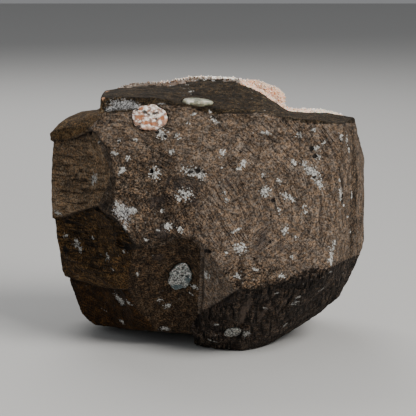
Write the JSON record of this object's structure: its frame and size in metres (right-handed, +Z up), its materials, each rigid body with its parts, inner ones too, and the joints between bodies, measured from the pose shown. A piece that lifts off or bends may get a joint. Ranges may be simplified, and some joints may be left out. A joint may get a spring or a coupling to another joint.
{
  "type": "heulandite geode",
  "caption": "Hewn block of dark vesicular basalt, open at its back onto a hollow lined with a crust of pink heulandite plates, with mineral nodules on its front.",
  "frame": {"origin": "centre of the bounding box in plan, on the plane that the block rests on", "axes": "+Z up, -Y the hewn front that the picture shows, +Y the open back, +X the long way, to the right seen from the front"},
  "size_m": [0.1498, 0.1205, 0.1263],
  "materials": {
    "basalt": "rough matt, dark brown-grey",
    "heulandite": "pearly to glassy, salmon pink",
    "pink_zeolite": "satin, pinkish white",
    "green_zeolite": "waxy, pale green",
    "white_zeolite": "sugary, white",
    "pale_zeolite": "satin, greyish white"
  },
  "bodies": {
    "root": {"basalt_matrix": "basalt", "heulandite_crust": "heulandite", "pink_nodule": "pink_zeolite", "green_nodule": "green_zeolite", "white_nodule": "white_zeolite", "pale_nodule": "pale_zeolite"}
  },
  "joints": []
}
